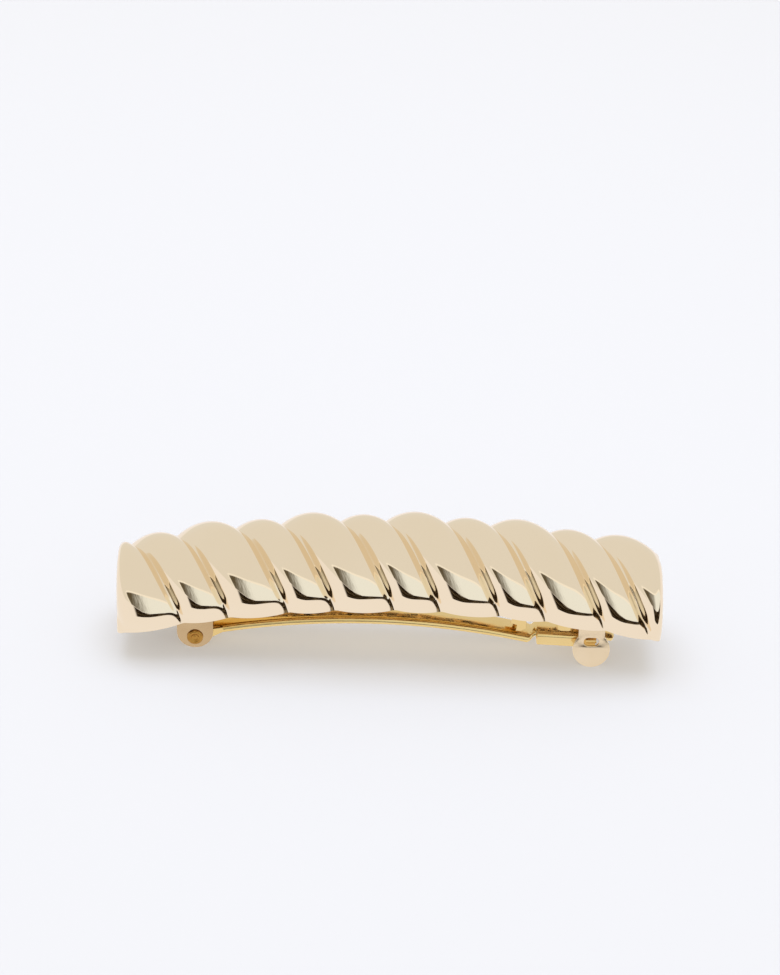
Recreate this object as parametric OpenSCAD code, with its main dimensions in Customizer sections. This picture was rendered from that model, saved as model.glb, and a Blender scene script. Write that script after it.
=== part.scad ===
// Ribbed metal barrette with an auto-clasp: a hollow ornamental shell soldered to an arched
// base strip, with a pinned arm under it that snaps into a two-winged spring catch.
// X runs along the clip towards the catch, Y across it to the back, Z up from the lowest point.

/* [Shell] */
// Length of the shell
shell_l = 88; // [80:0.5:120]
// Width of the shell measured in the valleys between ribs
shell_w = 15.6; // [13:0.1:22]
// Height of the shell above its lower edge, measured in the valleys
shell_h = 10.45; // [8:0.05:13]
// Wall thickness of the shell
wall = 1; // [0.6:0.05:1.3]
// Radius of the arch that the shell's lower edge follows
arch_r = 184; // [150:1:400]
// Height of the shell's lower edge at mid-length
edge_z = 12.1; // [12:0.05:16]
// Boxiness of the shell's cross-section (2 is an ellipse)
boxiness = 2; // [2:0.1:4]
// Depth below the edge of the line where the cross-section would be widest
widest_drop = 0; // [0:0.1:2]
// Rounding of the shell's end corners
end_round = 1.6; // [0.5:0.1:3]

/* [Ribs] */
// Distance from one narrow rib to the next
rib_pair = 17; // [12:0.02:24]
// Width of a narrow rib, the wide one takes the rest
rib_narrow = 7.45; // [4:0.1:11]
// Sideways run of a rib from the front edge to the back edge
rib_run = 14.4; // [-16:0.1:16]
// Height of a rib as a share of its own width
rib_rise = 0.26; // [0.05:0.005:0.3]
// Share of the ribs' height that is left at the shell's lower edge
rib_foot = 0.5; // [0.3:0.05:1]
// Height above the edge at which the ribs reach their full height
rib_foot_h = 3; // [1:0.1:6]
// How much of the ribs' height shows inside the shell
rib_inside = 0.9; // [0:0.05:1]
// Place of the valley before a narrow rib, on the centre line
rib_start = -6.3; // [-12:0.05:12]

/* [Base strip] */
// Width of the strip
strip_w = 6.8; // [6:0.1:9]
// Thickness of the strip
strip_t = 0.7; // [0.5:0.05:1]
// Height of the strip's underside above the shell's lower edge
strip_lift = 0.6; // [0.5:0.05:1]
// Length of the level seat at each end of the strip, from the shell's end
seat_l = 16; // [14.5:0.1:20]
// Gap between each end of the strip and the shell's end wall
end_gap = 1.4; // [0.8:0.1:2]
// Radius of the solder at each end of the strip
solder_r = 3; // [2:0.1:3.3]
// Thickness of the solder above and below the strip
solder_t = 0.6; // [0.3:0.05:0.9]
// How far the solder reaches over the strip
solder_reach = 1.2; // [0.6:0.1:2]
// How far the solder sinks into the end wall
solder_bite = 0.4; // [0.2:0.05:0.5]

/* [Hinge] */
// Distance of the pin from the shell's end
pin_inset = 12.4; // [11:0.1:14]
// Height of the pin's centre
pin_z = 3.8; // [3.4:0.1:4.8]
// Radius of the pin
pin_r = 0.8; // [0.6:0.05:0.95]
// Radius of the pin's rolled heads
head_r = 1.3; // [1.2:0.05:1.8]
// Thickness of the pin's heads
head_h = 0.45; // [0.3:0.05:0.6]
// Radius of the round end of each ear
ear_r = 2.95; // [2.4:0.05:3.2]
// Thickness of each ear
ear_t = 0.65; // [0.4:0.05:0.8]
// Height of the ears' lowest point
ear_z = 1.75; // [1:0.05:2]

/* [Arm] */
// Width of the arm
arm_w = 5; // [4.4:0.1:5.4]
// Sheet thickness of the arm
arm_t = 0.55; // [0.4:0.05:0.7]
// Height of the arm's top at its crest
arm_top = 7.25; // [6.6:0.05:8]
// Place of the arm's crest along the clip
arm_crest = -5; // [-10:0.5:5]
// Depth of the arm's side flanges
flange_h = 1.1; // [0.9:0.05:1.5]
// Depth of the side flanges in the catch
end_flange_h = 2.2; // [1.6:0.05:2.4]
// Radius of the arm's two cheeks on the pin
cheek_r = 1.9; // [1.7:0.05:2.1]
// Length over which each cheek runs into its flange
cheek_l = 4.5; // [3.5:0.1:6]
// Length of the straight end of the arm, up to its latch lugs
end_l = 9.9; // [8:0.1:11]
// Height of the arm's top where the straight end starts
end_top = 4.9; // [4.6:0.05:5.2]
// Height of the arm's top at its latch lugs
lug_top = 4.4; // [4.2:0.05:4.6]
// Thickness of the lap that joins the arched part to the straight end
lap_t = 0.9; // [0.7:0.05:1]
// Length of that lap
lap_l = 1.9; // [1.6:0.1:2.4]
// Distance from the lugs back to the slot in the straight end
slot_x = 3.2; // [2.4:0.1:4]
// Length of that slot
slot_l = 2.1; // [1:0.1:3]
// Width of that slot
slot_w = 2.6; // [1.6:0.1:3]
// Width of the tongue at the tip
tongue_w = 3.8; // [3:0.1:4.2]
// Length of the tongue past the lugs
tongue_l = 3.7; // [2.5:0.1:4.5]
// Downward slope of the tongue, in degrees
tongue_slope = 12; // [0:1:20]
// Width of each latch lug along the arm
lug_w = 1.7; // [1.2:0.1:1.9]

/* [Tension spring] */
// Width of the leaf
leaf_w = 4.4; // [3.6:0.1:5]
// Thickness of the leaf
leaf_t = 0.35; // [0.25:0.05:0.5]
// Clear height for hair between the arm's crest and the leaf
hair_gap = 4.45; // [4.2:0.05:4.6]
// Width of the eye that turns on the pin
eye_w = 3; // [2:0.1:3.4]
// Length of the narrow part that runs into the eye
eye_l = 4; // [3:0.1:6]
// Place of the leaf's crest along the clip
leaf_crest = -1.9; // [-6:0.1:2]
// Distance from the latch lugs back to the leaf's forked foot
foot_back = 13.2; // [12:0.1:15]
// Length of the forked foot along the clip
foot_l = 2.6; // [2:0.1:3]
// Height of the foot
foot_h = 3.7; // [3:0.1:4.2]

/* [Catch] */
// Distance of the wings' centre from the shell's end
catch_inset = 11; // [10.5:0.1:13]
// Sheet thickness of the catch
catch_t = 0.6; // [0.4:0.05:0.7]
// Half the distance between the wings, at mid-thickness
wing_y = 3.9; // [3.7:0.05:4.3]
// Width of a wing's neck
neck_w = 4.3; // [3.4:0.1:5]
// Radius of a wing's thumb lobe
lobe_r = 3.05; // [2.6:0.05:3.6]
// Outward flare of the lobes
flare = 8; // [0:1:12]
// Height at which the flare starts
flare_z = 6.3; // [5.8:0.1:7]
// Length of the window in each wing
window_l = 2.5; // [2.2:0.05:3]
// Height of the window in each wing
window_h = 1.45; // [1.2:0.05:1.8]
// Radius of the catch rivet
rivet_r = 0.8; // [0.5:0.05:1.2]
// Overhang of the rivet's heads
rivet_lip = 0.5; // [0.3:0.05:0.7]
// Height of the rivet's heads
rivet_h = 0.4; // [0.25:0.05:0.6]
// Overhang of the catch bridge past the wings' necks
bridge_lip = 0.9; // [0.5:0.1:1.4]
// Height of the windows' centre above the lugs' mid-thickness
window_lift = 0.3; // [0:0.05:0.4]

/* [Clearances] */
// Running clearance on the pin's radius
run_gap = 0.06; // [0.03:0.01:0.1]
// Side clearance between the arm's cheeks and the ears
side_gap = 0.25; // [0.15:0.01:0.4]
// Clearance between the arm and what it snaps against
snap_gap = 0.15; // [0.1:0.01:0.3]
// Clearance round each wing's fold
fold_gap = 0.15; // [0.08:0.01:0.3]
// Height of the leaf's foot above the arm
foot_gap = 0.3; // [0.1:0.05:0.5]

/* [Hidden] */

gold = "#e0cfae";
deep_gold = "#c8a25c";
arc_fn = 480;
round_fn = 64;
eps = 0.02;

arch_c = [0, edge_z - arch_r];                       // centre of the arch, in the XZ plane
seat_x = shell_l / 2 - seat_l;                       // where the level seats start
strip_r = arch_r + strip_lift;                       // radius of the strip's underside
seat_z = arch_c[1] + sqrt(pow(strip_r, 2) - pow(seat_x, 2));
strip_end = shell_l / 2 - wall - end_gap;
pin_x = pin_inset - shell_l / 2;
catch_x = shell_l / 2 - catch_inset;
ear_y = arm_w / 2 + side_gap;                        // inner face of each ear
arm_end = catch_x - end_l;                           // where the arm's arched part ends
fold_z = seat_z - catch_t / 2;                       // height of the wings' fold axis
foot_x = catch_x - foot_back;
window_z = lug_top - arm_t / 2 + window_lift;
eye_r = pin_r + run_gap + leaf_t;                    // outside of the leaf's eye
lug_flare = (flare_z - lug_top + arm_t) * tan(flare);  // how far the flare adds at the lugs
rib_r = (1 + pow(2 * rib_rise, 2)) / (4 * rib_rise); // radius of a rib's arc, in half widths
outer_steps = [112, 20];                             // facets along and round the shell's outside
inner_steps = [64, 12];                              // and round its inside
full_h = shell_h + widest_drop;                      // height of the section over its widest line
skirt = 3;                                           // how far the hollow is cut below the edge
// Side view of the leaf's forked foot, as shares of its length and height
fork_shape = [
  [0, 1], [1, 0.76], [1, 0.14], [0.7, 0], [0.35, 0], [0.42, 0.3], [0, 0.4], [0.12, 0.62], [-0.08, 0.84]
];

// Centre and radius of the circle through three points of the XZ plane, as [x, z, r]
function circle3(a, b, c) =
  let (d = 2 * (a[0] * (b[1] - c[1]) + b[0] * (c[1] - a[1]) + c[0] * (a[1] - b[1])),
       a2 = a * a, b2 = b * b, c2 = c * c,
       x = (a2 * (b[1] - c[1]) + b2 * (c[1] - a[1]) + c2 * (a[1] - b[1])) / d,
       z = (a2 * (c[0] - b[0]) + b2 * (a[0] - c[0]) + c2 * (b[0] - a[0])) / d)
  [x, z, norm(a - [x, z])];

// Height of a circle [x, z, r] above place x, and the angle of that point
function arc_z(c, x, inset = 0) = c[1] + sqrt(pow(c[2] - inset, 2) - pow(x - c[0], 2));
function arc_angle(c, x) = acos((x - c[0]) / c[2]);

arm_arc = circle3([pin_x, pin_z + flange_h / 2], [arm_crest, arm_top], [arm_end, end_top - lap_t]);
foot_top = arc_z(arm_arc, foot_x) + foot_gap + foot_h;
leaf_arc = circle3(
  [pin_x, pin_z + eye_r], [leaf_crest, arm_top + hair_gap + leaf_t],
  [foot_x, foot_top]
);

// Strip of a circle [x, z, r] between places x0 and x1, with its outside on the circle
module arc_strip(c, width, thick, x0, x1) {
  translate([c[0], 0, c[1]])
    rotate([90, 0, 0])
      rotate_extrude(angle = arc_angle(c, x0) - arc_angle(c, x1), start = arc_angle(c, x1), $fn = arc_fn)
        translate([c[2] - thick, -width / 2])
          square([thick, width]);
}

// Inverted channel along a circle: a web with a flange down each side
module arc_channel(c, width, thick, depth, x0, x1) {
  difference() {
    arc_strip(c, width, depth, x0, x1);
    arc_strip([c[0], c[1], c[2] - thick], width - 2 * thick, depth, x0 - 1, x1 + 1);
  }
}

// Box from its low corner in X, centred in Y, between two heights
module slab(x0, x1, width, z0, z1) {
  translate([x0, -width / 2, z0])
    cube([x1 - x0, width, z1 - z0]);
}

// Plate in the XZ plane, thick along Y from y0
module side_plate(y0, thick) {
  translate([0, y0 + thick, 0])
    rotate([90, 0, 0])
      linear_extrude(thick)
        children();
}

// Cylinder along Y, centred on the clip's centre line
module cross_pin(x, z, r, length) {
  translate([x, length / 2, z])
    rotate([90, 0, 0])
      cylinder(r = r, h = length, $fn = round_fn);
}

// ---- Shell ----

function edge_at(x) = arch_c[1] + sqrt(pow(arch_r, 2) - x * x);
function signed_pow(v, e) = sign(v) * pow(abs(v), e);
function dome(t) = (sqrt(rib_r * rib_r - pow(2 * t - 1, 2)) - rib_r) / 2 + rib_rise;

// How far a rib stands out at a place along the clip and a share of the way across it
function rib_out(x, s) =
  let (p = (x + rib_run * (s - 0.5) - rib_start) / rib_pair,
       f = (p - floor(p)) * rib_pair,
       wide = rib_pair - rib_narrow)
  f < rib_narrow ? rib_narrow * dome(f / rib_narrow) : wide * dome((f - rib_narrow) / wide);

// Share of the ribs' height at a height above the edge, on the plain cross-section
function rib_share(z) =
  let (t = min(1, max(0, z / rib_foot_h)))
  rib_foot + (1 - rib_foot) * t * t * (3 - 2 * t);

// How far the surface draws in near an end, for a rounded corner
function end_in(x, half) =
  let (d = max(0, abs(x) - half + end_round))
  end_round - sqrt(max(0, end_round * end_round - d * d));

// Point of a cross-section at a share s of the way from its front edge over the top to its back edge
function shell_point(x, s, half_l, half_w, h, rib, drop) =
  let (e = 2 / boxiness,
       first = asin(pow(widest_drop / h, boxiness / 2)),
       a = first + s * (180 - 2 * first),
       y = -half_w * signed_pow(cos(a), e),
       z = h * pow(sin(a), e),
       ny = -signed_pow(cos(a), 2 - e) / half_w,
       nz = pow(sin(a), 2 - e) / h,
       n = norm([ny, nz]),
       out = rib * rib_share(z - widest_drop) * rib_out(x, s) - end_in(x, half_l),
       low = s <= 0 || s >= 1)
  [x, y + out * ny / n, edge_at(x) + (low ? -drop : z - widest_drop + out * nz / n)];

// Closed dome over the arch: rings of points along X, flat across the bottom
module shell_dome(half_l, half_w, h, rib, drop, nx, na) {
  points = [
    for (i = [0:nx], j = [0:na])
      shell_point(half_l * (2 * i / nx - 1), j / na, half_l, half_w, h, rib, drop)
  ];
  ring = na + 1;
  sides = [
    for (i = [0:nx - 1], j = [0:na])
      let (a = i * ring + j, b = i * ring + (j + 1) % ring)
      each [[a, b, a + ring], [b, b + ring, a + ring]]
  ];
  ends = [
    [for (j = [na:-1:0]) j],
    [for (j = [0:na]) nx * ring + j]
  ];
  polyhedron(points = points, faces = concat(sides, ends));
}

module top_shell() {
  color(gold)
    difference() {
      shell_dome(shell_l / 2, shell_w / 2, full_h, 1, 0, outer_steps[0], outer_steps[1]);
      shell_dome(shell_l / 2 - wall, shell_w / 2 - wall, full_h - wall, rib_inside, skirt,
                 inner_steps[0], inner_steps[1]);
    }
}

// ---- Base strip, hinge ears and pin ----

module ear_outline() {
  translate([pin_x, ear_z + ear_r])
    circle(r = ear_r, $fn = round_fn);
  translate([pin_x - ear_r, ear_z + ear_r])
    square([2 * ear_r, seat_z + strip_t - ear_z - ear_r]);
}

module base_strip() {
  color(deep_gold)
    difference() {
      union() {
        arc_strip([0, arch_c[1], strip_r + strip_t], strip_w, strip_t, -seat_x - eps, seat_x + eps);
        slab(-strip_end, -seat_x, strip_w, seat_z, seat_z + strip_t);
        slab(seat_x, strip_end, strip_w, seat_z, seat_z + strip_t);
        for (y0 = [-ear_y - ear_t, ear_y])
          side_plate(y0, ear_t)
            ear_outline();
      }
      cross_pin(pin_x, pin_z, pin_r, 4 * strip_w);
      translate([catch_x, 0, seat_z - 1])
        cylinder(r = rivet_r, h = strip_t + 2, $fn = round_fn);
    }
}

module hinge_pin() {
  half = ear_y + ear_t;
  color(deep_gold)
    difference() {
      union() {
        cross_pin(pin_x, pin_z, pin_r, 2 * half);
        for (side = [-1, 1])
          translate([pin_x, side * half, pin_z])
            rotate([-90 * side, 0, 0])
              rotate_extrude($fn = round_fn)
                polygon([[0, 0], [head_r, 0], [head_r, head_h / 2], [head_r - head_h / 2, head_h], [0, head_h]]);
      }
      for (side = [-1, 1])
        translate([pin_x, side * (half + head_h), pin_z])
          sphere(r = head_h, $fn = round_fn);
    }
}

// ---- Arm ----

// Cheek round the pin that runs into the flange
module cheek_outline() {
  x0 = pin_x + cheek_r;
  x1 = pin_x + cheek_l;
  difference() {
    union() {
      translate([pin_x, pin_z])
        circle(r = cheek_r, $fn = round_fn);
      polygon([
        [pin_x, pin_z + cheek_r],
        [x0, arc_z(arm_arc, x0)],
        [x1, arc_z(arm_arc, x1)],
        [x1, arc_z(arm_arc, x1, flange_h)],
        [pin_x, pin_z - cheek_r]
      ]);
    }
    translate([pin_x, pin_z])
      circle(r = pin_r + run_gap, $fn = round_fn);
  }
}

// Straight end that lies in the catch, in its own frame with the lugs at the origin
module arm_end_piece() {
  channel_l = end_l - lap_t;
  tilt = atan2(end_top - lug_top, end_l);
  translate([catch_x, 0, lug_top])
    rotate([0, tilt, 0]) {
      difference() {
        slab(-channel_l, lug_w / 2, arm_w, -end_flange_h, 0);
        slab(-channel_l - 1, lug_w, arm_w - 2 * arm_t, -end_flange_h - 1, -arm_t);
        slab(-slot_x - slot_l, -slot_x, slot_w, -1, 1);
      }
      slab(-lug_w / 2, lug_w / 2, 2 * (wing_y - catch_t / 2 + lug_flare - snap_gap), -arm_t, 0);
      slab(-end_l - lap_l / 3, -end_l + 2 * lap_l / 3, arm_w - 2 * arm_t, -lap_t, 0);
      translate([lug_w / 4, 0, 0])
        rotate([0, tongue_slope, 0])
          slab(0, tongue_l - lug_w / 4, tongue_w, -arm_t, 0);
    }
}

module clasp_arm() {
  color(deep_gold)
    union() {
      arc_channel(arm_arc, arm_w, arm_t, flange_h, pin_x + cheek_r, arm_end);
      for (y0 = [-arm_w / 2, arm_w / 2 - arm_t])
        side_plate(y0, arm_t)
          cheek_outline();
      arm_end_piece();
    }
}

// ---- Tension spring ----

module fork_outline() {
  translate([foot_x, foot_top - foot_h])
    polygon([for (p = fork_shape) [p[0] * foot_l, p[1] * foot_h]]);
}

module tension_spring() {
  color(deep_gold)
    difference() {
      union() {
        arc_strip(leaf_arc, leaf_w, leaf_t, pin_x + eye_l, foot_x + foot_l / 2);
        arc_strip(leaf_arc, eye_w, leaf_t, pin_x, pin_x + eye_l + eps);
        cross_pin(pin_x, pin_z, eye_r, eye_w);
        for (y0 = [-leaf_w / 2, leaf_w / 2 - leaf_t])
          side_plate(y0, leaf_t)
            fork_outline();
      }
      cross_pin(pin_x, pin_z, pin_r + run_gap, 2 * eye_w);
    }
}

// ---- Catch ----

module catch_bridge() {
  half_l = neck_w / 2 + bridge_lip;
  color(gold)
    difference() {
      slab(catch_x - half_l, catch_x + half_l, 2 * (wing_y - catch_t / 2 - fold_gap),
           seat_z - catch_t, seat_z);
      translate([catch_x, 0, seat_z - 2])
        cylinder(r = rivet_r, h = 4, $fn = round_fn);
    }
}

// Lower part of a wing in its own plane: neck and thumb lobe, with the window
module lobe_outline() {
  drop = (flare_z - lobe_r) / cos(flare);
  difference() {
    union() {
      translate([catch_x, -drop])
        circle(r = lobe_r, $fn = round_fn);
      translate([catch_x - neck_w / 2, -drop])
        square([neck_w, drop]);
    }
    translate([catch_x, (window_z - flare_z) / cos(flare)]) {
      square([window_l - window_h, window_h], center = true);
      for (side = [-1, 1])
        translate([side * (window_l - window_h) / 2, 0])
          circle(r = window_h / 2, $fn = round_fn);
    }
  }
}

module catch_wing(side) {
  color(gold)
    union() {
      translate([catch_x - neck_w / 2, side * wing_y, fold_z])
        rotate([0, 90, 0])
          cylinder(r = catch_t / 2, h = neck_w, $fn = round_fn);
      translate([catch_x - neck_w / 2, side * wing_y - catch_t / 2, flare_z - eps])
        cube([neck_w, catch_t, fold_z - flare_z + eps]);
      translate([0, side * wing_y, flare_z])
        rotate([side * flare, 0, 0])
          side_plate(-catch_t / 2, catch_t)
            lobe_outline();
    }
}

module catch_wing_front() catch_wing(-1);
module catch_wing_rear() catch_wing(1);

module catch_rivet() {
  low = seat_z - catch_t;
  high = seat_z + strip_t;
  lip = rivet_r + rivet_lip;
  edge = rivet_h / 3;
  color(deep_gold)
    translate([catch_x, 0, 0])
      rotate_extrude($fn = round_fn)
        polygon([
          [0, low - rivet_h], [rivet_r, low - rivet_h], [lip, low - edge], [lip, low],
          [rivet_r, low], [rivet_r, high],
          [lip, high], [lip, high + edge], [rivet_r, high + rivet_h], [0, high + rivet_h]
        ]);
}

// ---- Solder that joins the strip's ends to the shell's end walls ----

module solder_joint(side) {
  inner = strip_end - solder_reach;
  outer = strip_end + end_gap + solder_bite;
  color("#b9ad93")
    difference() {
      intersection() {
        translate([side * strip_end, 0, seat_z - solder_t])
          cylinder(r = solder_r, h = strip_t + 2 * solder_t, $fn = round_fn);
        slab(min(side * inner, side * outer), max(side * inner, side * outer), strip_w,
             seat_z - solder_t, seat_z + strip_t + solder_t);
      }
      slab(min(0, side * strip_end), max(0, side * strip_end), strip_w, seat_z, seat_z + strip_t);
    }
}

module solder_joint_left() solder_joint(-1);
module solder_joint_right() solder_joint(1);

top_shell();
base_strip();
hinge_pin();
clasp_arm();
tension_spring();
catch_bridge();
catch_wing_front();
catch_wing_rear();
catch_rivet();
solder_joint_left();
solder_joint_right();
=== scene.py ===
import math

import bmesh
import bpy
from mathutils import Matrix, Vector


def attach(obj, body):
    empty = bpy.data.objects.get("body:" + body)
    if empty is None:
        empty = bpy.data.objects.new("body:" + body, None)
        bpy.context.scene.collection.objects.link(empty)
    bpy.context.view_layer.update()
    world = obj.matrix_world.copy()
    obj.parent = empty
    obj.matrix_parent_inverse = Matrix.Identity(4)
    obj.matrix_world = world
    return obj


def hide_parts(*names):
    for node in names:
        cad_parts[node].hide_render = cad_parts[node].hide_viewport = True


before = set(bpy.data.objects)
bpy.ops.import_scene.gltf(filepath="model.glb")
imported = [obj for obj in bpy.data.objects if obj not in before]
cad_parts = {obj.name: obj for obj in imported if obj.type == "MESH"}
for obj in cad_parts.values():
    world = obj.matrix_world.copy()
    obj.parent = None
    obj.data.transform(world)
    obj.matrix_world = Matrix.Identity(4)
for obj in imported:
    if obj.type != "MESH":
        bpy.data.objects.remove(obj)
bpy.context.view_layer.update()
print("frame loaded:", len(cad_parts), "nodes")

mm = 0.001


def linear(code):
    # sRGB hex to linear RGBA
    parts = [int(code[i:i + 2], 16) / 255 for i in (1, 3, 5)]
    return [p / 12.92 if p <= 0.04045 else ((p + 0.055) / 1.055) ** 2.4 for p in parts] + [1]


def addNode(tree, kind, links=None, **settings):
    # adds a node with its settings, and links or sets its inputs
    node = tree.nodes.new(kind)
    for name, value in settings.items():
        setattr(node, name, value)
    for key, value in (links or {}).items():
        if isinstance(value, bpy.types.NodeSocket):
            tree.links.new(value, node.inputs[key])
        else:
            node.inputs[key].default_value = value
    return node


# ---------- materials ----------

def platedMetal(name, look):
    # plated metal, tumbled or polished: a mirror with faint waviness, fine marks and soft tone changes
    mat = bpy.data.materials.new(name)
    mat.use_nodes = True
    tree = mat.node_tree
    tree.nodes.clear()
    coord = addNode(tree, "ShaderNodeTexCoord")
    lay = addNode(tree, "ShaderNodeMapping", {0: coord.outputs["Object"], 2: (0, 0, look["grainTurn"])})
    stretch = addNode(tree, "ShaderNodeMapping", {0: lay.outputs[0], 3: look["grainStretch"]})
    tone = addNode(tree, "ShaderNodeTexNoise", {
        "Vector": coord.outputs["Object"], "Scale": 1 / (look["toneMm"] * mm), "Detail": 2})
    colour = addNode(tree, "ShaderNodeMix", {
        0: tone.outputs[0], 6: linear(look["colour"]), 7: linear(look["shade"])}, data_type="RGBA")
    marks = addNode(tree, "ShaderNodeTexNoise", {
        "Vector": stretch.outputs[0], "Scale": 1 / (look["grainMm"] * mm), "Detail": 3})
    rough = addNode(tree, "ShaderNodeMapRange", {
        0: marks.outputs[0], 1: 0.3, 2: 0.7, 3: look["roughLow"], 4: look["roughHigh"]})
    wave = addNode(tree, "ShaderNodeTexNoise", {
        "Vector": coord.outputs["Object"], "Scale": 1 / (look["waveMm"] * mm), "Detail": 1})
    fine = addNode(tree, "ShaderNodeBump", {
        "Height": marks.outputs[0], "Strength": look["grainBump"], "Distance": 0.01 * mm})
    broad = addNode(tree, "ShaderNodeBump", {
        "Height": wave.outputs[0], "Strength": look["waveBump"], "Distance": 0.1 * mm,
        "Normal": fine.outputs[0]})
    surface = addNode(tree, "ShaderNodeBsdfPrincipled", {
        "Base Color": colour.outputs[2], "Metallic": 1, "Roughness": rough.outputs[0],
        "Normal": broad.outputs[0]})
    addNode(tree, "ShaderNodeOutputMaterial", {0: surface.outputs[0]})
    return mat


# champagne gold plate over a polished casting: near mirror, its marks follow the ribs
champagnePlate = platedMetal("champagneGoldPlatePolished", {
    "colour": "#f7e8cf", "shade": "#f4e3c7", "toneMm": 14, "roughLow": 0.04, "roughHigh": 0.07,
    "grainMm": 0.9, "grainTurn": math.atan(0.85), "grainStretch": (1, 0.12, 1), "grainBump": 0.12,
    "waveMm": 5, "waveBump": 0.12})
# the same plate on flat spring steel: slightly softer, from barrel polishing
champagneSteel = platedMetal("champagneGoldPlateTumbled", {
    "colour": "#f0dec0", "shade": "#e6d0ab", "toneMm": 4, "roughLow": 0.12, "roughHigh": 0.2,
    "grainMm": 0.35, "grainTurn": 0, "grainStretch": (1, 1, 1), "grainBump": 0.1,
    "waveMm": 3, "waveBump": 0.08})
# a warmer, duller plate on the strip and its ears, its colour darkened further by painted shade for the
# shadowed paper that they reflect
warmShadedSteel = platedMetal("warmGoldPlatePaintedShade", {
    "colour": "#d3b88f", "shade": "#c4a67c", "toneMm": 4, "roughLow": 0.12, "roughHigh": 0.2,
    "grainMm": 0.35, "grainTurn": 0, "grainStretch": (1, 1, 1), "grainBump": 0.1,
    "waveMm": 3, "waveBump": 0.08})
# yellow gold flash plate on rolled strip: bright, with the rolling grain along its length
yellowStrip = platedMetal("yellowGoldPlateRolled", {
    "colour": "#f0d79c", "shade": "#e6c47c", "toneMm": 5, "roughLow": 0.08, "roughHigh": 0.17,
    "grainMm": 0.4, "grainTurn": 0, "grainStretch": (0.06, 1, 1), "grainBump": 0.16,
    "waveMm": 4, "waveBump": 0.12})
# yellow gold plate on a peened soft pin: duller, with small dents
yellowPeened = platedMetal("yellowGoldPlatePeened", {
    "colour": "#c99a4e", "shade": "#9c6c2c", "toneMm": 0.8, "roughLow": 0.18, "roughHigh": 0.34,
    "grainMm": 0.3, "grainTurn": 0, "grainStretch": (1, 1, 1), "grainBump": 0.5,
    "waveMm": 0.7, "waveBump": 0.5})
# tin-silver solder: grey and dull, with a frosted, rippled skin
solderTin = platedMetal("tinSolderFrosted", {
    "colour": "#b3aa98", "shade": "#8c8474", "toneMm": 1.2, "roughLow": 0.32, "roughHigh": 0.5,
    "grainMm": 0.25, "grainTurn": 0, "grainStretch": (1, 1, 1), "grainBump": 0.6,
    "waveMm": 1.2, "waveBump": 0.6})


# ---------- mesh helpers ----------

def makeObject(name, mesh, material, sharpDegrees=38):
    # finishes a mesh: outward faces, smooth shading with sharp edges kept, one material
    work = bmesh.new()
    work.from_mesh(mesh)
    bmesh.ops.remove_doubles(work, verts=work.verts, dist=0.002 * mm)
    bmesh.ops.dissolve_degenerate(work, edges=work.edges, dist=0.001 * mm)
    bmesh.ops.recalc_face_normals(work, faces=work.faces)
    for face in work.faces:
        face.smooth = True
    limit = math.radians(sharpDegrees)
    for edge in work.edges:
        edge.smooth = len(edge.link_faces) == 2 and edge.calc_face_angle(0) < limit
    work.to_mesh(mesh)
    work.free()
    mesh.materials.clear()
    mesh.materials.append(material)
    piece = bpy.data.objects.new(name, mesh)
    bpy.context.scene.collection.objects.link(piece)
    return piece


def bake(piece, name, material, sharpDegrees=38):
    # the evaluated shape of an object with its modifiers, as a new plain object
    graph = bpy.context.evaluated_depsgraph_get()
    graph.update()
    mesh = bpy.data.meshes.new_from_object(piece.evaluated_get(graph))
    mesh.transform(piece.matrix_world)
    bpy.data.objects.remove(piece)
    return makeObject(name, mesh, material, sharpDegrees)


def loft(name, rings, material, closed=False):
    # a skin over closed rings of points, with its two ends capped
    work = bmesh.new()
    rows = [[work.verts.new([c * mm for c in p]) for p in ring] for ring in rings]
    count = len(rings[0])
    pairs = list(zip(rows, rows[1:]))
    if closed:
        pairs.append((rows[-1], rows[0]))
    for low, high in pairs:
        for i in range(count):
            j = (i + 1) % count
            work.faces.new((low[i], low[j], high[j], high[i]))
    if not closed:
        work.faces.new(rows[0][::-1])
        work.faces.new(rows[-1])
    mesh = bpy.data.meshes.new(name)
    work.to_mesh(mesh)
    work.free()
    return makeObject(name, mesh, material)


def corner(centre, radius, start, end, steps=4):
    # points of an arc, its angles in degrees
    angles = [math.radians(start + (end - start) * i / steps) for i in range(steps + 1)]
    return [(centre[0] + radius * math.cos(a), centre[1] + radius * math.sin(a)) for a in angles]


def barSection(width, thick, rounding):
    # flat bar with round edges: points (across, up), its top at 0
    w, r = width / 2 - rounding, rounding
    return (corner((w, -r), r, 0, 90) + corner((-w, -r), r, 90, 180)
            + corner((-w, -thick + r), r, 180, 270) + corner((w, -thick + r), r, 270, 360))


def channelSection(width, thick, depth, fold, edge=0.12):
    # inverted channel of bent sheet: round folds and rounded lower edges, its top at 0
    w, inner = width / 2, max(fold - thick, 0.05)
    iw = w - thick
    outside = corner((w - edge, -depth + edge), edge, 270, 360, 2) + corner((w - fold, -fold), fold, 0, 90)
    outside += corner((-w + fold, -fold), fold, 90, 180)
    outside += corner((-w + edge, -depth + edge), edge, 180, 270, 2)
    inside = [(-iw, -depth)] + corner((-iw + inner, -thick - inner), inner, 180, 90)
    inside += corner((iw - inner, -thick - inner), inner, 90, 0) + [(iw, -depth)]
    return outside + inside


def placeRing(section, x, z, lean):
    # puts a section's points (across, up) at (x, z), leaning by an angle towards +X
    return [(x + up * math.sin(lean), across, z + up * math.cos(lean)) for across, up in section]


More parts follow.
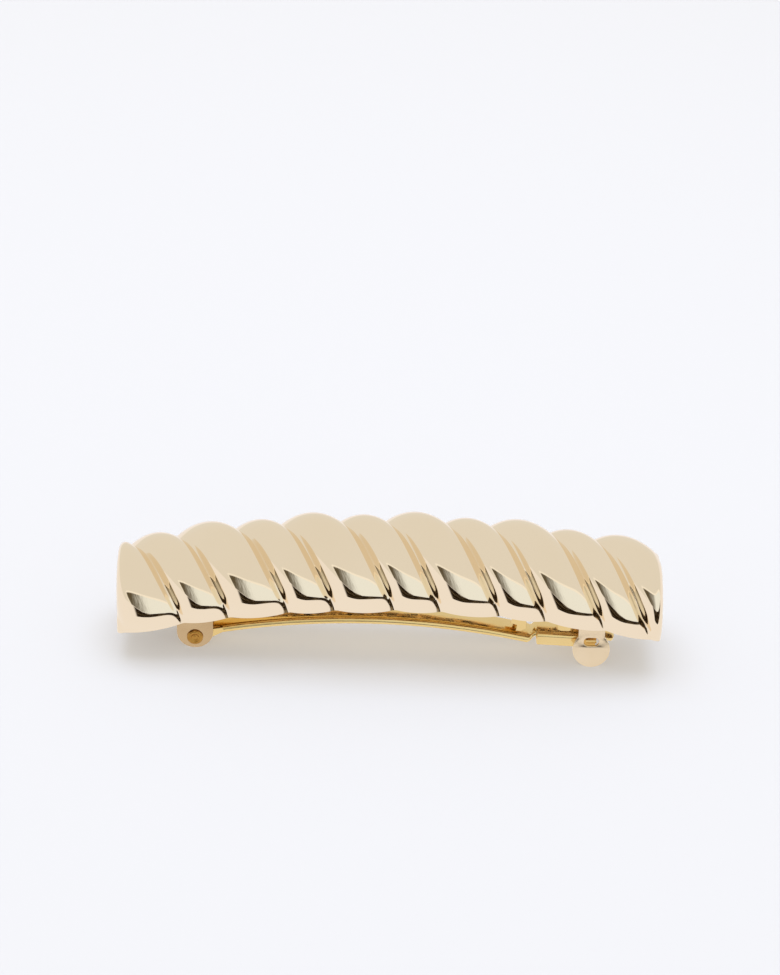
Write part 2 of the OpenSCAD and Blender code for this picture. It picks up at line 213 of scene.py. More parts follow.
def plate(name, outlines, y, thick, rounding, material):
    # sheet cut to outlines in the XZ plane, thick along Y from y, with rounded edges
    curve = bpy.data.curves.new(name, "CURVE")
    curve.dimensions = "2D"
    curve.fill_mode = "BOTH"
    curve.extrude = (thick / 2 - rounding) * mm
    curve.bevel_depth = rounding * mm
    curve.bevel_resolution = 2
    curve.offset = -rounding * mm
    for outline in outlines:
        spline = curve.splines.new("POLY")
        spline.points.add(len(outline) - 1)
        for point, (x, z) in zip(spline.points, outline):
            point.co = (x * mm, z * mm, 0, 1)
        spline.use_cyclic_u = True
    flat = bpy.data.objects.new(name, curve)
    bpy.context.scene.collection.objects.link(flat)
    upright = Matrix.Rotation(math.pi / 2, 4, "X")
    flat.matrix_world = Matrix.Translation((0, (y + thick / 2) * mm, 0)) @ upright
    bpy.context.view_layer.update()
    return bake(flat, name, material)


def circlePoints(x, z, r, start=0, end=360, steps=48):
    # an arc, or a whole circle without its first point again
    points = corner((x, z), r, start, end, steps)
    return points[:-1] if abs(end - start) >= 360 else points


def lathe(name, profile, centre, axis, material, steps=64):
    # turns a closed profile of (radius, along) about an axis through a point
    turn = Vector((0, 0, 1)).rotation_difference(Vector(axis)).to_matrix()
    rings = []
    for k in range(steps):
        a = 2 * math.pi * k / steps
        spun = [Vector((r * math.cos(a), r * math.sin(a), h)) for r, h in profile]
        rings.append([Vector(centre) + turn @ point for point in spun])
    return loft(name, rings, material, closed=True)


def combine(name, base, others, operation, material):
    # boolean of closed solids, made a plain mesh
    for other in others:
        step = base.modifiers.new("step", "BOOLEAN")
        step.operation = operation
        step.solver = "EXACT"
        step.object = other
    result = bake(base, name, material)
    for other in others:
        bpy.data.objects.remove(other)
    return result


def place(piece, body, slotName, *nodes):
    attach(piece, body)
    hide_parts(*nodes)
    print("made", piece.name)


# ---------- shell ----------

shell = {"halfLength": 44, "halfWidth": 7.8, "height": 10.45, "widestDrop": 0, "wall": 1,
         "archRadius": 184, "edgeHeight": 12.1, "boxiness": 2, "endRound": 1.6, "ribPair": 17,
         "ribNarrow": 7.45, "ribRun": 14.4, "ribRise": 0.26, "ribStart": -6.3, "ribFoot": 0.5,
         "ribFootHeight": 3, "fillet": 0.3, "across": 72, "along": 480}


def shellTree():
    # ribbed dome over an arch: a grid is bent over, swollen by diagonal ribs and drawn in at its closed ends
    tree = bpy.data.node_groups.new("ribbedShell", "GeometryNodeTree")
    face = tree.interface
    face.new_socket("Geometry", in_out="OUTPUT", socket_type="NodeSocketGeometry")
    for key in shell:
        kind = "NodeSocketInt" if key in ("across", "along") else "NodeSocketFloat"
        face.new_socket(key, in_out="INPUT", socket_type=kind)
    face.new_socket("plate", in_out="INPUT", socket_type="NodeSocketMaterial")
    given = addNode(tree, "NodeGroupInput").outputs

    def calc(operation, *values):
        node = addNode(tree, "ShaderNodeMath", dict(enumerate(values)), operation=operation)
        return node.outputs[0]

    # the grid is sheared so its columns follow the ribs, and the columns past each end close it
    reach = calc("ADD", given["halfLength"], calc("DIVIDE", given["ribRun"], 2))
    span = calc("MULTIPLY", calc("ADD", reach, given["halfWidth"]), 2)
    grid = addNode(tree, "GeometryNodeMeshGrid", {
        "Size X": span, "Size Y": 1, "Vertices X": given["along"], "Vertices Y": given["across"]})
    spot = addNode(tree, "ShaderNodeSeparateXYZ", {0: addNode(tree, "GeometryNodeInputPosition").outputs[0]})
    run = spot.outputs[0]
    past = calc("MAXIMUM", calc("SUBTRACT", calc("ABSOLUTE", run), reach), 0)
    shrink = calc("SUBTRACT", 1, calc("DIVIDE", past, given["halfWidth"]))
    low = calc("DIVIDE", given["widestDrop"], given["height"])
    first = calc("ARCSINE", calc("POWER", low, calc("DIVIDE", given["boxiness"], 2)))
    turn = calc("MULTIPLY", spot.outputs[1], calc("SUBTRACT", math.pi, calc("MULTIPLY", first, 2)))
    angle = calc("ADD", turn, math.pi / 2)
    power = calc("DIVIDE", 2, given["boxiness"])
    cosine, sine = calc("COSINE", angle), calc("MAXIMUM", calc("SINE", angle), 0)
    side = calc("SIGN", cosine)
    across = calc("MULTIPLY", calc("POWER", calc("ABSOLUTE", cosine), power), calc("MULTIPLY", side, -1))
    y = calc("MULTIPLY", across, given["halfWidth"])
    z = calc("MULTIPLY", calc("POWER", sine, power), given["height"])
    shear = calc("MULTIPLY", spot.outputs[1], given["ribRun"])
    sheared = calc("SUBTRACT", run, shear)
    farEnd = calc("MULTIPLY", given["halfLength"], -1)
    x = calc("MAXIMUM", calc("MINIMUM", sheared, given["halfLength"]), farEnd)
    # outward direction of the plain cross-section
    rest = calc("SUBTRACT", 2, power)
    level = calc("MULTIPLY", calc("POWER", calc("ABSOLUTE", cosine), rest), calc("MULTIPLY", side, -1))
    ny = calc("DIVIDE", level, given["halfWidth"])
    nz = calc("DIVIDE", calc("POWER", sine, rest), given["height"])
    size = calc("SQRT", calc("ADD", calc("MULTIPLY", ny, ny), calc("MULTIPLY", nz, nz)))
    # place across the pair of ribs, and the dome of the rib that it falls in
    phase = calc("SUBTRACT", calc("ADD", x, shear), given["ribStart"])
    f = calc("MULTIPLY", calc("FRACT", calc("DIVIDE", phase, given["ribPair"])), given["ribPair"])
    isWide = calc("GREATER_THAN", f, given["ribNarrow"])
    wide = calc("SUBTRACT", given["ribPair"], given["ribNarrow"])
    wider = calc("SUBTRACT", wide, given["ribNarrow"])
    width = calc("ADD", given["ribNarrow"], calc("MULTIPLY", isWide, wider))
    t = calc("DIVIDE", calc("SUBTRACT", f, calc("MULTIPLY", isWide, given["ribNarrow"])), width)
    rise = given["ribRise"]
    rise4 = calc("MULTIPLY", rise, 4)
    bow = calc("DIVIDE", calc("ADD", 1, calc("MULTIPLY", rise, rise4)), rise4)
    off = calc("SUBTRACT", calc("MULTIPLY", t, 2), 1)
    chord = calc("SQRT", calc("SUBTRACT", calc("MULTIPLY", bow, bow), calc("MULTIPLY", off, off)))
    dome = calc("ADD", calc("DIVIDE", calc("SUBTRACT", chord, bow), 2), rise)
    # the ribs are lower near the edge
    up = calc("DIVIDE", calc("SUBTRACT", z, given["widestDrop"]), given["ribFootHeight"])
    up = calc("MINIMUM", calc("MAXIMUM", up, 0), 1)
    grown = calc("MULTIPLY", calc("MULTIPLY", up, up), calc("SUBTRACT", 3, calc("MULTIPLY", up, 2)))
    share = calc("ADD", given["ribFoot"], calc("MULTIPLY", grown, calc("SUBTRACT", 1, given["ribFoot"])))
    bulge = calc("MULTIPLY", calc("MULTIPLY", width, share), calc("MAXIMUM", dome, 0))
    # a small fillet in the valley
    fillet = given["fillet"]
    squares = calc("ADD", calc("MULTIPLY", bulge, bulge), calc("MULTIPLY", fillet, fillet))
    soft = calc("SUBTRACT", calc("SQRT", squares), fillet)
    # rounding where the sides meet the end walls
    endRound = given["endRound"]
    pastSide = calc("SUBTRACT", calc("ABSOLUTE", x), given["halfLength"])
    near = calc("MAXIMUM", calc("ADD", pastSide, endRound), 0)
    left = calc("SUBTRACT", calc("MULTIPLY", endRound, endRound), calc("MULTIPLY", near, near))
    drawn = calc("SUBTRACT", endRound, calc("SQRT", calc("MAXIMUM", left, 0)))
    out = calc("DIVIDE", calc("SUBTRACT", soft, drawn), size)
    ySkin = calc("MULTIPLY", calc("ADD", y, calc("MULTIPLY", out, ny)), shrink)
    # the lower rims stay on the arch
    rim = calc("LESS_THAN", calc("ABSOLUTE", spot.outputs[1]), 0.4999)
    above = calc("SUBTRACT", calc("ADD", z, calc("MULTIPLY", out, nz)), given["widestDrop"])
    zSkin = calc("MULTIPLY", calc("MULTIPLY", above, rim), shrink)
    radius = given["archRadius"]
    drop = calc("SQRT", calc("SUBTRACT", calc("MULTIPLY", radius, radius), calc("MULTIPLY", x, x)))
    arch = calc("ADD", calc("SUBTRACT", drop, radius), given["edgeHeight"])
    skin = addNode(tree, "ShaderNodeCombineXYZ", {0: x, 1: ySkin, 2: calc("ADD", arch, zSkin)})
    moved = addNode(tree, "GeometryNodeSetPosition", {
        "Geometry": grid.outputs[0], "Position": skin.outputs[0]})
    inMetres = addNode(tree, "GeometryNodeTransform", {
        "Geometry": moved.outputs[0], "Scale": (mm, mm, mm)})
    merged = addNode(tree, "GeometryNodeMergeByDistance", {
        "Geometry": inMetres.outputs[0], "Distance": 0.003 * mm})
    plain = addNode(tree, "GeometryNodeRealizeInstances", {0: merged.outputs[0]})
    painted = addNode(tree, "GeometryNodeSetMaterial", {
        "Geometry": plain.outputs[0], "Material": given["plate"]})
    addNode(tree, "NodeGroupOutput", {0: painted.outputs[0]})
    return tree


def makeShell():
    tree = shellTree()
    holder = bpy.data.objects.new("shellHolder", bpy.data.meshes.new("shellHolder"))
    bpy.context.scene.collection.objects.link(holder)
    form = holder.modifiers.new("ribs", "NODES")
    form.node_group = tree
    for socket in tree.interface.items_tree:
        if socket.in_out == "INPUT":
            form[socket.identifier] = champagnePlate if socket.name == "plate" else shell[socket.name]
    skin = bake(holder, "shellSkin", champagnePlate, 60)
    thick = skin.modifiers.new("wall", "SOLIDIFY")
    thick.thickness = shell["wall"] * mm
    thick.offset = -1
    return bake(skin, "ornamentalShell", champagnePlate, 50)


place(makeShell(), "frame", "pale_gold_shell", "top_shell")

# ---------- mechanism: shared places ----------

seat = {"x": 28, "blend": 0.6, "lift": 0.6, "z": 10.5642, "end": 41.6, "width": 6.8, "thick": 0.7}
pin = {"x": -31.6, "z": 3.8, "radius": 0.8, "headRadius": 1.3, "headHeight": 0.45, "runGap": 0.06}
ear = {"inner": 2.75, "thick": 0.65, "radius": 2.95, "bottom": 1.75}
catch = {"x": 33, "thick": 0.6, "wingY": 3.9, "neck": 4.3, "lobe": 3.05, "flare": math.radians(8),
         "flareZ": 6.3, "bend": 1.2, "windowL": 2.5, "windowH": 1.45, "windowZ": 4.425, "foldGap": 0.15,
         "foldRise": 0.3, "lip": 0.9, "rivet": 0.8, "rivetLip": 0.5, "rivetHead": 0.4}


def circleThrough(a, b, c):
    # centre and radius of the circle through three points of the XZ plane
    d = 2 * (a[0] * (b[1] - c[1]) + b[0] * (c[1] - a[1]) + c[0] * (a[1] - b[1]))
    aa, bb, cc = (p[0] ** 2 + p[1] ** 2 for p in (a, b, c))
    x = (aa * (b[1] - c[1]) + bb * (c[1] - a[1]) + cc * (a[1] - b[1])) / d
    z = (aa * (c[0] - b[0]) + bb * (a[0] - c[0]) + cc * (b[0] - a[0])) / d
    return x, z, math.hypot(a[0] - x, a[1] - z)


def arcHeight(circle, x):
    return circle[1] + math.sqrt(circle[2] ** 2 - (x - circle[0]) ** 2)


def arcStations(circle, x0, x1, count):
    # places along the top of a circle, with the lean of its outward direction
    stations = []
    for i in range(count + 1):
        x = x0 + (x1 - x0) * i / count
        stations.append((x, arcHeight(circle, x), math.asin((x - circle[0]) / circle[2])))
    return stations


def rivetDrill():
    # tool for the rivet's hole through the strip and the bridge
    low, high = seat["z"] - 2, seat["z"] + 2
    profile = [(0.001, low), (catch["rivet"], low), (catch["rivet"], high), (0.001, high)]
    return lathe("drill", profile, (catch["x"], 0, 0), (0, 0, 1), champagneSteel)


# ---------- base strip ----------

def makeStrip():
    top = seat["z"] + seat["thick"]
    arch = (0, shell["edgeHeight"] - shell["archRadius"], shell["archRadius"] + seat["lift"] + seat["thick"])
    near, far = seat["x"] - seat["blend"], seat["x"] + seat["blend"]
    stations = [(-seat["end"], top, 0), (-far, top, 0)]
    stations += arcStations(arch, -near, near, 60)
    stations += [(far, top, 0), (seat["end"], top, 0)]
    section = barSection(seat["width"], seat["thick"], 0.15)
    strip = loft("strip", [placeRing(section, *s) for s in stations], yellowStrip)
    centre = ear["bottom"] + ear["radius"]
    outline = circlePoints(pin["x"], centre, ear["radius"], 180, 360, 32)
    outline += [(pin["x"] + ear["radius"], top - 0.2), (pin["x"] - ear["radius"], top - 0.2)]
    hole = circlePoints(pin["x"], pin["z"], pin["radius"])
    ears = [plate("ear", [outline, hole], y, ear["thick"], 0.08, yellowStrip)
            for y in (-ear["inner"] - ear["thick"], ear["inner"])]
    whole = combine("strip", strip, ears, "UNION", yellowStrip)
    # the strip and its ears take the plate whose colour holds painted shade
    return combine("baseStrip", whole, [rivetDrill()], "DIFFERENCE", warmShadedSteel)


place(makeStrip(), "frame", "gold_strip", "base_strip")


# ---------- hinge pin ----------

def makePin():
    half = ear["inner"] + ear["thick"]
    r, h, head = pin["radius"], pin["headHeight"], pin["headRadius"]
    # one end from its rim to its middle: a rolled edge round a dished centre
    rolled = [(head - 0.12, 0), (head, 0.1), (head, 0.22), (head - 0.12, 0.36), (head - 0.3, h)]
    rolled += [(head - 0.5, h - 0.03), (head - 0.62, h - 0.12), (0.5, h - 0.26), (0.3, h - 0.22)]
    rolled += [(0.12, h - 0.16), (0.001, h - 0.15)]
    profile = [(0.001, -half - h + 0.15)] + [(a, -half - b) for a, b in rolled[-2::-1]]
    profile += [(r, -half), (r, half)] + [(a, half + b) for a, b in rolled]
    return lathe("hingePin", profile, (pin["x"], 0, pin["z"]), (0, 1, 0), yellowPeened, 48)


place(makePin(), "frame", "gold_pin", "hinge_pin")

# ---------- arm ----------

arm = {"width": 5, "thick": 0.55, "crestX": -5, "top": 7.25, "depth": 1.1, "endDepth": 2.2, "end": 9.9,
       "endTop": 4.9, "lap": 0.9, "lugTop": 4.4, "cheek": 1.9, "cheekLength": 4.5, "channelStart": 2.2,
       "tongueWidth": 3.8, "tongueSlope": math.radians(12), "lug": 1.7, "lugReach": 3.79, "fold": 0.75,
       "slotNear": 3.2, "slotFar": 5.3, "slotHalf": 1.3, "slotRound": 0.5}
armEnd = catch["x"] - arm["end"]
armArc = circleThrough((pin["x"], pin["z"] + arm["depth"] / 2), (arm["crestX"], arm["top"]),
                       (armEnd, arm["endTop"] - arm["lap"]))


def makeArm():
    w, t, depth = arm["width"], arm["thick"], arm["depth"]
    slope = (arm["endTop"] - arm["lugTop"]) / arm["end"]
    lean = math.atan(slope)

    def endTop(x):
        return arm["lugTop"] + (catch["x"] - x) * slope

    rings = [placeRing(channelSection(w, t, depth, arm["fold"]), *s)
             for s in arcStations(armArc, pin["x"] + arm["channelStart"], armEnd - 0.3, 110)]
    # neck: place past the arch, share of the step up, how much narrower, and depth
    neck = [(0, 0, 0.5, 0.95), (0.3, 4 / 13, 1.1, 0.9), (0.7, 10 / 13, 1.2, 0.9), (1, 1, 1.2, 0.95),
            (1.12, 1, 0.25, 1.9), (1.25, 1, 0, arm["endDepth"])]
    low = arcHeight(armArc, armEnd)
    for along, share, narrow, down in neck:
        x = armEnd + along
        z = low + (endTop(x) - low) * share
        rings.append(placeRing(channelSection(w - narrow, t, down, arm["fold"]), x, z, lean))
    first, last = armEnd + neck[-1][0], catch["x"] + arm["lug"] / 2
    for i in range(1, 9):
        x = first + (last - first) * i / 8
        rings.append(placeRing(channelSection(w, t, arm["endDepth"], arm["fold"]), x, endTop(x), lean))
    body = loft("arm", rings, yellowStrip)

    x0, x1 = pin["x"] + arm["channelStart"], pin["x"] + arm["cheekLength"]
    cheek = circlePoints(pin["x"], pin["z"], arm["cheek"], 90, 285, 40)
    cheek += [(x1, arcHeight(armArc, x1) - depth + 0.02), (x1, arcHeight(armArc, x1) - 0.2)]
    cheek += [(x0, arcHeight(armArc, x0) - 0.2)]
    bore = circlePoints(pin["x"], pin["z"], pin["radius"] + pin["runGap"])
    parts = [plate("cheek", [cheek, bore], y, t, 0.08, yellowStrip)
             for y in (-w / 2 + 0.01, w / 2 - t - 0.01)]

    bar = [(-arm["lug"] / 2, 0), (arm["lug"] / 2, 0), (arm["lug"] / 2, -t), (-arm["lug"] / 2, -t)]
    lug = [[(catch["x"] + a, y, arm["lugTop"] - 0.02 + b) for a, b in bar]
           for y in (-arm["lugReach"], arm["lugReach"])]
    parts.append(loft("lugs", lug, yellowStrip))
    tongue = []
    root, slant = last - 0.4, lean + arm["tongueSlope"]
    for along, narrow in ((0, 0), (1.6, 0), (2.6, 0.05), (3.1, 0.25), (3.35, 0.6), (3.45, 1.1)):
        section = barSection(arm["tongueWidth"] - 2 * narrow, t, 0.12)
        z = endTop(root) - 0.02 - along * math.tan(slant)
        tongue.append(placeRing(section, root + along, z, slant))
    parts.append(loft("tongue", tongue, yellowStrip))
    whole = combine("arm", body, parts, "UNION", yellowStrip)
    r = arm["slotRound"]
    slotShape = circlePoints(catch["x"] - arm["slotFar"] + r, 0, r, 90, 270, 8)
    slotShape += circlePoints(catch["x"] - arm["slotNear"] - r, 0, r, -90, 90, 8)
    wide = arm["slotHalf"] - r
    slotShape = [(x, y + wide if y > 0 else y - wide) for x, y in slotShape]
    cut = loft("cut", [[(x, y, z) for x, y in slotShape] for z in (2, 6)], yellowStrip)
    return combine("claspArm", whole, [cut], "DIFFERENCE", yellowStrip)


place(makeArm(), "arm", "gold_arm", "clasp_arm")

# ---------- tension spring ----------

leaf = {"width": 4.4, "thick": 0.35, "gap": 4.45, "crestX": -1.9, "eyeWidth": 3, "eyeTurn": math.radians(420),
        "footBack": 13.2, "footL": 2.6, "footH": 3.7, "footGap": 0.3}
footX = catch["x"] - leaf["footBack"]
footTop = arcHeight(armArc, footX) + leaf["footGap"] + leaf["footH"]
eyeR = pin["radius"] + pin["runGap"] + leaf["thick"]
leafArc = circleThrough((pin["x"], pin["z"] + eyeR),
                        (leaf["crestX"], arm["top"] + leaf["gap"] + leaf["thick"]), (footX, footTop))


def makeSpring():
    t = leaf["thick"]
    rings = []
    start, stop = leaf["eyeTurn"], math.pi / 2 + math.asin((leafArc[0] - pin["x"]) / leafArc[2])
    for i in range(37):  # the eye, wound round the pin until it meets the leaf
        a = start + (stop - start) * i / 36
        rings.append(placeRing(barSection(leaf["eyeWidth"], t, 0.08), pin["x"] + eyeR * math.cos(a),
                               pin["z"] + eyeR * math.sin(a), math.pi / 2 - a))
    for x, z, lean in arcStations(leafArc, pin["x"] + 0.6, footX + leaf["footL"], 80):
        share = min(max((x - pin["x"] - 2.5) / 2, 0), 1)
        width = leaf["eyeWidth"] + (leaf["width"] - leaf["eyeWidth"]) * share * share * (3 - 2 * share)
        rings.append(placeRing(barSection(width, t, 0.08), x, z, lean))
    body = loft("leaf", rings, yellowStrip)
    bottom = footTop - leaf["footH"]
    x1 = footX + leaf["footL"]
    # side view of a prong: its root, its tip and the notch cut in its left edge
    fork = [(footX, footTop - 0.12), (x1, footTop - 0.95), (x1, bottom + 0.5), (x1 - 0.8, bottom)]
    fork += [(footX + 0.9, bottom), (footX + 1.1, bottom + 1.1), (footX, bottom + 1.5)]
    fork += [(footX + 0.3, bottom + 2.3), (footX - 0.2, footTop - 0.6)]
    forks = [plate("fork", [fork], y, t, 0.06, yellowStrip)
             for y in (-leaf["width"] / 2, leaf["width"] / 2 - t)]
    return combine("tensionSpring", body, forks, "UNION", yellowStrip)


place(makeSpring(), "spring", "gold_spring", "tension_spring")


# ---------- catch ----------

def makeWing(side, name):
    foldZ = seat["z"] - catch["thick"] / 2
    half, lobe = catch["neck"] / 2, catch["lobe"]
    centre = -(catch["flareZ"] - lobe) / math.cos(catch["flare"])
    dip = math.degrees(math.acos(half / lobe))
    # flat blank: heights are measured along the sheet from the start of the flare
    outline = circlePoints(0, centre, lobe, dip, -180 - dip, 64)
    top = foldZ + catch["foldRise"] - catch["flareZ"]
    outline += [(-half, top), (half, top)]
    r = catch["windowH"] / 2
    level = (catch["windowZ"] - catch["flareZ"]) / math.cos(catch["flare"])
    reach = catch["windowL"] / 2 - r
    window = circlePoints(-reach, level, r, 90, 270, 16) + circlePoints(reach, level, r, -90, 90, 16)
    blank = plate(name, [outline, window], -catch["thick"] / 2, catch["thick"], 0.1, champagneSteel)
    work = bmesh.new()
    work.from_mesh(blank.data)
    bend = catch["bend"]
    for i in range(9):
        geometry = work.verts[:] + work.edges[:] + work.faces[:]
        height = (bend / 2 - bend * i / 8) * mm
        bmesh.ops.bisect_plane(work, geom=geometry, plane_co=(0, 0, height), plane_no=(0, 0, 1))
    radius = bend / catch["flare"]
    for vert in work.verts:
        x, y, v = (c / mm for c in vert.co)
        y *= side
        if v >= bend / 2:
            bent = (x, y, v)
        else:
            a = min((bend / 2 - v) / radius, catch["flare"])
            past = max(-v - bend / 2, 0)
            bent = (x, radius - (radius - y) * math.cos(a) + past * math.sin(a),
                      bend / 2 - (radius - y) * math.sin(a) - past * math.cos(a))
        vert.co = ((catch["x"] + bent[0]) * mm, side * (catch["wingY"] + bent[1]) * mm,
                   (catch["flareZ"] + bent[2]) * mm)
    work.to_mesh(blank.data)
    work.free()
    mesh = blank.data.copy()
    bpy.data.objects.remove(blank)
    return makeObject(name, mesh, champagneSteel)


place(makeWing(-1, "catchWingFront"), "wing_front", "pale_gold_catch", "catch_wing_front")
place(makeWing(1, "catchWingRear"), "wing_rear", "pale_gold_catch", "catch_wing_rear")


def makeBridge():
    half = catch["neck"] / 2 + catch["lip"]
    width = 2 * (catch["wingY"] - catch["thick"] / 2 - catch["foldGap"])
    section = barSection(width, catch["thick"], 0.12)
    rings = [placeRing(section, catch["x"] + x, seat["z"], 0) for x in (-half, half)]
    bridge = loft("bridge", rings, champagneSteel)
    return combine("catchBridge", bridge, [rivetDrill()], "DIFFERENCE", champagneSteel)


place(makeBridge(), "frame", "pale_gold_catch", "catch_bridge")


def makeRivet():
    low, high, r = seat["z"] - catch["thick"], seat["z"] + seat["thick"], catch["rivet"]
    rim, h = r + catch["rivetLip"], catch["rivetHead"]
    head = [(rim, 0), (rim, 0.3 * h), (rim - 0.14, 0.65 * h), (rim - 0.4, 0.9 * h), (rim - 0.8, h)]
    head.append((0.001, h))
    profile = [(a, low - b) for a, b in head[::-1]] + [(r, low), (r, high)] + [(a, high + b) for a, b in head]
    return lathe("catchRivet", profile, (catch["x"], 0, 0), (0, 0, 1), yellowPeened, 48)


place(makeRivet(), "frame", "gold_pin", "catch_rivet")


# ---------- solder ----------

puddle = {"past": 0.35, "rise": 0.4, "halfLength": 1.35, "halfWidth": 2.7, "halfHeight": 0.95, "lump": 0.06,
          "squareness": 0.8}


def makeSolder(side, name):
    # a cooled puddle over the strip's end, up against the end wall
    work = bmesh.new()
    bmesh.ops.create_icosphere(work, subdivisions=4, radius=1)
    for vert in work.verts:
        p = vert.co.copy()
        lump = 1 + puddle["lump"] * math.sin(5 * p.x + 3 * p.y) * math.cos(4 * p.y - 2 * p.z)
        x, y, z = (math.copysign(abs(c) ** puddle["squareness"], c) * lump for c in p)
        x = side * (seat["end"] + puddle["past"]) + puddle["halfLength"] * x
        z = seat["z"] + puddle["rise"] + puddle["halfHeight"] * z
        vert.co = (x * mm, puddle["halfWidth"] * y * mm, z * mm)
    mesh = bpy.data.meshes.new(name)
    work.to_mesh(mesh)
    work.free()
    return makeObject(name, mesh, solderTin, 80)


place(makeSolder(-1, "solderLeft"), "frame", "solder", "solder_joint_left")
place(makeSolder(1, "solderRight"), "frame", "solder", "solder_joint_right")

# ---------- floor, light and camera ----------

stageLook = {"size": 4, "tilt": math.atan2(ear["bottom"], catch["x"] - pin["x"]), "colour": "#bdbdbf"}
floorMesh = bpy.data.meshes.new("floor")
half = stageLook["size"] / 2
floorCorners = [(-half, -half, 0), (half, -half, 0), (half, half, 0), (-half, half, 0)]
floorMesh.from_pydata(floorCorners, [], [(0, 1, 2, 3)])
floorMesh.transform(Matrix.Translation((catch["x"] * mm, 0, 0)) @ Matrix.Rotation(stageLook["tilt"], 4, "Y"))
floor = bpy.data.objects.new("floor", floorMesh)
bpy.context.scene.collection.objects.link(floor)
paper = bpy.data.materials.new("paleStudioPaper")
paper.use_nodes = True
paperTree = paper.node_tree
paperTree.nodes.clear()
paperSkin = addNode(paperTree, "ShaderNodeBsdfPrincipled", {
    "Base Color": linear(stageLook["colour"]), "Roughness": 0.9, "Specular IOR Level": 0.1})
addNode(paperTree, "ShaderNodeOutputMaterial", {0: paperSkin.outputs[0]})
floorMesh.materials.append(paper)
floor.visible_glossy = False  # the plate reflects the room below and the glowing card, a painted reflection of the lit paper, instead

# a glowing card, seen only in reflections: a painted reflection of the lit paper in front of the clip, as the
# plate sees it
cardLook = {"left": -200, "right": 200, "front": -32, "back": 2, "colour": "#f8f5f6"}
slope = math.tan(stageLook["tilt"])
cardPlan = [(cardLook["left"], cardLook["front"]), (cardLook["right"], cardLook["front"]),
            (cardLook["right"], cardLook["back"]), (cardLook["left"], cardLook["back"])]
cardCorners = [(x * mm, y * mm, (catch["x"] - x) * mm * slope) for x, y in cardPlan]
cardMesh = bpy.data.meshes.new("nearPaperReflection")
cardMesh.from_pydata(cardCorners, [], [(0, 1, 2, 3)])
card = bpy.data.objects.new("nearPaperReflection", cardMesh)
card.visible_camera = card.visible_diffuse = card.visible_shadow = False
bpy.context.scene.collection.objects.link(card)
glowPaper = bpy.data.materials.new("paintedPaperReflection")
glowPaper.use_nodes = True
cardTree = glowPaper.node_tree
cardTree.nodes.clear()
# the card's glow is a painted reflection of the paper, not a lamp
cardGlow = addNode(cardTree, "ShaderNodeEmission", {0: linear(cardLook["colour"]), 1: 1.0})
addNode(cardTree, "ShaderNodeOutputMaterial", {0: cardGlow.outputs[0]})
cardMesh.materials.append(glowPaper)

# angles in degrees: bearings run from the camera's side towards the right, rises up from level
room = {"wall": "#e9e7e3", "hemTone": "#fffdf8", "hem": 3, "panelLight": "#f4fbff", "panelDark": "#5f5644",
        "panelBearing": 20, "panelHalf": 72, "panelRise": 29, "leftLean": 0.6, "leftCut": (-36, -33),
        "fade": -0.9, "foldShare": 0.75, "fadeRange": (0.1, 0.95),
        "tableEndDark": "#22180d", "tableEndLight": "#8b7c62", "tableReach": (1.7, 1.9), "tableLean": 0.3,
        "leanCut": (-31, -28.5), "tableFar": (-0.4, -1.4), "tableLeft": (-33, -27), "horizon": (-0.6, 0.2)}
world = bpy.data.worlds.new("studio")
bpy.context.scene.world = world
world.use_nodes = True
sky = world.node_tree
sky.nodes.clear()
way = addNode(sky, "ShaderNodeTexCoord")
part = addNode(sky, "ShaderNodeSeparateXYZ", {0: way.outputs["Generated"]})


def skyMath(operation, *values):
    return addNode(sky, "ShaderNodeMath", dict(enumerate(values)), operation=operation).outputs[0]


def skySmooth(value, low, high):
    # eases from 0 at low to 1 at high
    node = addNode(sky, "ShaderNodeMapRange", {0: value, 1: low, 2: high}, interpolation_type="SMOOTHSTEP")
    return node.outputs[0]


def skyRange(value, low, high):
    # the same between two angles in degrees
    return skySmooth(value, math.radians(low), math.radians(high))


def skyMix(factor, first, second):
    sockets = {0: factor, 6: first, 7: second}
    return addNode(sky, "ShaderNodeMix", sockets, data_type="RGBA").outputs[2]


def skyNoise(turn, stretch, scale, detail):
    lay = addNode(sky, "ShaderNodeMapping", {0: way.outputs["Generated"], 2: turn, 3: stretch})
    settings = {"Vector": lay.outputs[0], "Scale": scale, "Detail": detail}
    return addNode(sky, "ShaderNodeTexNoise", settings).outputs[0]


# pale walls all round, with the open, camera side of the light tent as a dull panel low in front
bearing = skyMath("ARCTAN2", part.outputs[0], skyMath("MULTIPLY", part.outputs[1], -1))
rise = skyMath("ARCSINE", part.outputs[2])


def openSide(spread):
    # the panel's outline, pushed out by some degrees: the top of an ellipse, cut off on the left
    offset = skyMath("SUBTRACT", bearing, math.radians(room["panelBearing"]))
    across = skyMath("DIVIDE", offset, math.radians(room["panelHalf"] + spread))
    up = skyMath("DIVIDE", rise, math.radians(room["panelRise"] + spread))
    reach = skyMath("ADD", skyMath("MULTIPLY", across, across), skyMath("MULTIPLY", up, up))
    inside = skyMath("SUBTRACT", 1, skySmooth(reach, 0.94, 1.0))
    lean = skyMath("ADD", bearing, skyMath("MULTIPLY", rise, room["leftLean"]))
    left = skyRange(lean, room["leftCut"][0] - spread, room["leftCut"][1] - spread)
    return skyMath("MULTIPLY", inside, left)


panel, hem = openSide(0), openSide(room["hem"])
folds = skyNoise((0, 0.6, 0), (14, 3, 3), 1.6, 3)
toLeft = skyMath("MULTIPLY", bearing, room["fade"])
dim = skyMath("ADD", toLeft, skyMath("MULTIPLY", folds, room["foldShare"]))
deep = skySmooth(dim, *room["fadeRange"])
panelTone = skyMix(deep, linear(room["panelLight"]), linear(room["panelDark"]))
wallTone = skyMix(hem, linear(room["wall"]), linear(room["hemTone"]))
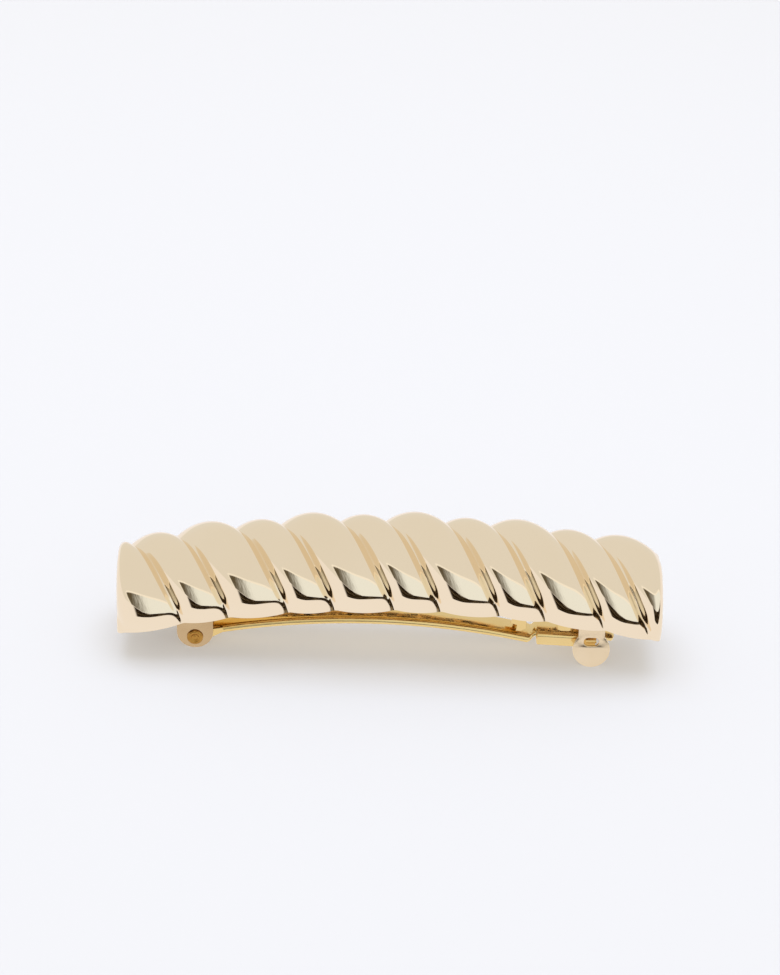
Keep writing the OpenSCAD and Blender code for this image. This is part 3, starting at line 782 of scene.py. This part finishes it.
# bright paper below the horizon, with a dark, streaked strip in front where the table ends
away = skyMath("DIVIDE", part.outputs[1], skyMath("MINIMUM", part.outputs[2], -0.001))
slant = skyMath("SUBTRACT", rise, skyMath("MULTIPLY", bearing, room["tableLean"]))
nearEdge = skyMath("MULTIPLY", skySmooth(away, *room["tableReach"]), skyRange(slant, *room["leanCut"]))
farEdge = skyRange(rise, *room["tableFar"])
tableEnd = skyMath("MULTIPLY", skyMath("MULTIPLY", nearEdge, farEdge), skyRange(bearing, *room["tableLeft"]))
streaks = skySmooth(skyNoise((0, 0, 0), (2, 2, 30), 1, 2), 0.5, 0.72)
endTone = skyMix(streaks, linear(room["tableEndDark"]), linear(room["tableEndLight"]))
paperTone = skyMix(tableEnd, linear(cardLook["colour"]), endTone)
above = skyRange(rise, *room["horizon"])
roomTone = skyMix(above, paperTone, skyMix(panel, wallTone, panelTone))
glow = addNode(sky, "ShaderNodeBackground", {0: roomTone, 1: 1.0})
addNode(sky, "ShaderNodeOutputWorld", {0: glow.outputs[0]})


def softbox(name, position, aim, size, power, tint, shadows):
    light = bpy.data.lights.new(name, "AREA")
    light.shape = "RECTANGLE"
    light.size, light.size_y = size
    light.energy = power
    light.color = linear(tint)[:3]
    light.use_shadow = shadows
    lamp = bpy.data.objects.new(name, light)
    lamp.location = position
    lamp.rotation_euler = (Vector(aim) - Vector(position)).to_track_quat("-Z", "Y").to_euler()
    lamp.visible_glossy = False
    bpy.context.scene.collection.objects.link(lamp)


softbox("overhead", (0.0, 0.05, 0.8), (0, 0, 0.01), (0.7, 0.7), 3, "#b9d2ff", True)
softbox("fill", (0.0, 0.15, 1.6), (0, 0, 0.01), (1.5, 1.5), 27.5, "#fffaf0", False)

view = {"distance": 0.53, "elevation": math.radians(31), "yaw": math.radians(-0.385),
        "roll": math.radians(1.003), "width": 0.12706, "raise": 0.01597, "sideways": -0.00022,
        "middle": 0.012, "sensor": 36}
camData = bpy.data.cameras.new("camera")
camData.sensor_fit = "HORIZONTAL"
camData.sensor_width = view["sensor"]
camData.lens = view["sensor"] * view["distance"] / view["width"]
camera = bpy.data.objects.new("camera", camData)
middle = Vector((0, 0, view["middle"]))
level = math.cos(view["elevation"])
back = Vector((math.sin(view["yaw"]) * level, -math.cos(view["yaw"]) * level, math.sin(view["elevation"])))
right = Vector((math.cos(view["yaw"]), math.sin(view["yaw"]), 0))
up = back.cross(right)
spot = middle + back * view["distance"]
aim = middle + up * view["raise"] + right * view["sideways"]
gaze = (aim - spot).normalized()
turn = gaze.to_track_quat("-Z", "Y").to_matrix() @ Matrix.Rotation(view["roll"], 3, "Z")
camera.matrix_world = Matrix.Translation(spot) @ turn.to_4x4()
bpy.context.scene.collection.objects.link(camera)
bpy.context.scene.camera = camera
bpy.context.scene.view_settings.view_transform = "Standard"
